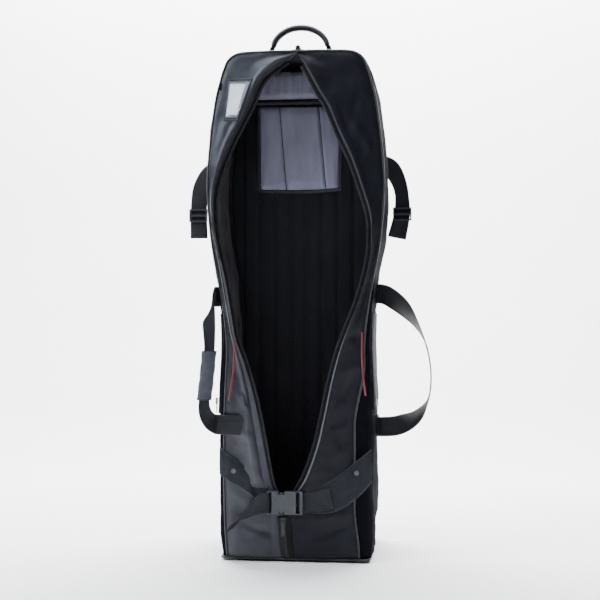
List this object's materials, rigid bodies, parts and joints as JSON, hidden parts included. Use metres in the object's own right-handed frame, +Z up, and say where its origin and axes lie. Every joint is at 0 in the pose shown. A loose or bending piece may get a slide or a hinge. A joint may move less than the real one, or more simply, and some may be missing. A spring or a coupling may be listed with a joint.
{
  "type": "golf travel case",
  "caption": "Soft wheeled travel case for a golf bag, standing open: padded fabric body with a full-length front zip, carry handles, compression strap with buckle and head-protection flap.",
  "frame": {"origin": "middle of the base's resting face, under the case", "axes": "+Z up the case's length, -Y the zip side, +X to the right as the zip side is seen"},
  "size_m": [0.6328, 0.3653, 1.3509],
  "materials": {
    "shell_fabric": "black woven polyester cover cloth with a soft sheen",
    "pad_fabric": "grey quilted padding",
    "webbing": "black strap webbing",
    "piping_cord": "black corded piping",
    "grip_rubber": "black moulded soft grip",
    "zip_coil": "black nylon zip",
    "zip_metal": "black enamelled zip slider",
    "pull_metal": "grey metal pull",
    "moulded_black": "black moulded plastic",
    "buckle_plastic": "black acetal buckle",
    "wheel_tyre": "black urethane tyre",
    "wheel_hub": "grey nylon wheel hub",
    "steel": "zinc-plated steel",
    "rivet_metal": "blackened rivet",
    "board": "stiff plastic board",
    "window_film": "clear vinyl window with a stitched edge",
    "card": "blank white card"
  },
  "bodies": {
    "case": {"wheel_housing": "moulded_black", "base_board": "board", "front_feet": "moulded_black", "base_panel": "shell_fabric", "axle_left": "steel", "axle_left_spacer": "steel", "axle_right": "steel", "axle_right_spacer": "steel", "back_panel": "shell_fabric", "back_stiffener": "board", "skid_rails": "moulded_black", "rail_rivets": "rivet_metal", "back_pad": "pad_fabric", "side_wall_left": "shell_fabric", "side_wall_right": "shell_fabric", "top_panel": "shell_fabric", "front_panel_left": "shell_fabric", "front_panel_right": "shell_fabric", "lapel_left": "shell_fabric", "lapel_right": "shell_fabric", "front_piping": "piping_cord", "back_piping": "piping_cord", "zip_tape_left": "zip_coil", "zip_tape_right": "zip_coil", "zip_chains": "zip_coil", "handle_anchors": "moulded_black", "duffel_patches": "webbing", "wing_left": "shell_fabric", "wing_right": "shell_fabric", "wing_rivets": "rivet_metal", "lower_webbing_left": "webbing", "lower_webbing_right": "webbing", "buckle_female": "buckle_plastic", "side_pockets": "shell_fabric", "id_window": "window_film", "head_pad": "pad_fabric"},
    "wheel_left": {"wheel_left_tyre": "wheel_tyre", "wheel_left_hub": "wheel_hub", "wheel_left_bearings": "steel"},
    "wheel_right": {"wheel_right_tyre": "wheel_tyre", "wheel_right_hub": "wheel_hub", "wheel_right_bearings": "steel"},
    "top_handle": {"handle_grip": "grip_rubber", "handle_webbing": "webbing"},
    "duffel_left": {"duffel_webbing_left": "webbing", "handle_wrap": "shell_fabric"},
    "duffel_right": {"duffel_webbing_right": "webbing"},
    "upper_strap_left": {"upper_webbing_left": "webbing", "upper_adjuster_left": "moulded_black"},
    "upper_strap_right": {"upper_webbing_right": "webbing", "upper_adjuster_right": "moulded_black"},
    "buckle_half": {"buckle_male": "buckle_plastic"},
    "top_slider": {"zip_slider_top": "zip_metal"},
    "top_pull": {"zip_pull_top": "zip_metal"},
    "bottom_slider": {"zip_slider_bottom": "zip_metal"},
    "bottom_pull": {"zip_pull_bottom": "zip_metal"},
    "pocket_pull_l": {"pocket_pull_left": "pull_metal"},
    "pocket_pull_r": {"pocket_pull_right": "pull_metal"},
    "card": {"id_card": "card"},
    "flap": {"head_flap": "pad_fabric"}
  },
  "joints": [
    {"name": "wheel_left_spin", "type": "hinge", "parent": "case", "child": "wheel_left", "pos_m": [-0.15, 0.126, 0.041], "axis": [1, 0, 0], "continuous": true},
    {"name": "wheel_right_spin", "type": "hinge", "parent": "case", "child": "wheel_right", "pos_m": [0.15, 0.126, 0.041], "axis": [1, 0, 0], "continuous": true},
    {"name": "top_handle_swing", "type": "hinge", "parent": "case", "child": "top_handle", "pos_m": [0, -0.02, 1.271], "axis": [-1, 0, 0], "range_deg": [-70, 70]},
    {"name": "duffel_left_swing", "type": "hinge", "parent": "case", "child": "duffel_left", "pos_m": [-0.1995, -0.152, 0.5], "axis": [0, 0, -1], "range_deg": [-30, 60]},
    {"name": "duffel_right_swing", "type": "hinge", "parent": "case", "child": "duffel_right", "pos_m": [0.2065, -0.032, 0.5], "axis": [0, 0, 1], "range_deg": [-60, 60]},
    {"name": "upper_strap_left_swing", "type": "hinge", "parent": "case", "child": "upper_strap_left", "pos_m": [-0.2205, 0.02, 1.012], "axis": [0, 1, 0], "range_deg": [0, 60]},
    {"name": "upper_strap_right_swing", "type": "hinge", "parent": "case", "child": "upper_strap_right", "pos_m": [0.2205, 0.02, 1.018], "axis": [0, -1, 0], "range_deg": [0, 60]},
    {"name": "buckle_release", "type": "slide", "parent": "case", "child": "buckle_half", "axis": [-1, 0, 0], "range_m": [0, 0.022]},
    {"name": "top_slider_travel", "type": "slide", "parent": "case", "child": "top_slider", "axis": [0, 1, 0], "range_m": [0, 0.1]},
    {"name": "top_pull_lift", "type": "hinge", "parent": "top_slider", "child": "top_pull", "pos_m": [0.006, -0.132, 1.2714], "axis": [1, 0, 0], "range_deg": [0, 150]},
    {"name": "bottom_slider_travel", "type": "slide", "parent": "case", "child": "bottom_slider", "axis": [0.1093, 0, -0.994], "range_m": [0, 0.075]},
    {"name": "bottom_pull_lift", "type": "hinge", "parent": "bottom_slider", "child": "bottom_pull", "pos_m": [-0.0285, -0.1564, 0.098], "axis": [-1, 0, 0], "range_deg": [0, 100]},
    {"name": "pocket_left_zip", "type": "slide", "parent": "case", "child": "pocket_pull_l", "axis": [0, 0, 1], "range_m": [0, 0.2]},
    {"name": "pocket_right_zip", "type": "slide", "parent": "case", "child": "pocket_pull_r", "axis": [0, 0, 1], "range_m": [0, 0.2]},
    {"name": "card_slide", "type": "slide", "parent": "case", "child": "card", "axis": [0.19, 0, 0.9818], "range_m": [0, 0.06]},
    {"name": "flap_swing", "type": "hinge", "parent": "case", "child": "flap", "pos_m": [0, -0.036, 1.143], "axis": [-1, 0, 0], "range_deg": [-18, 18]}
  ]
}
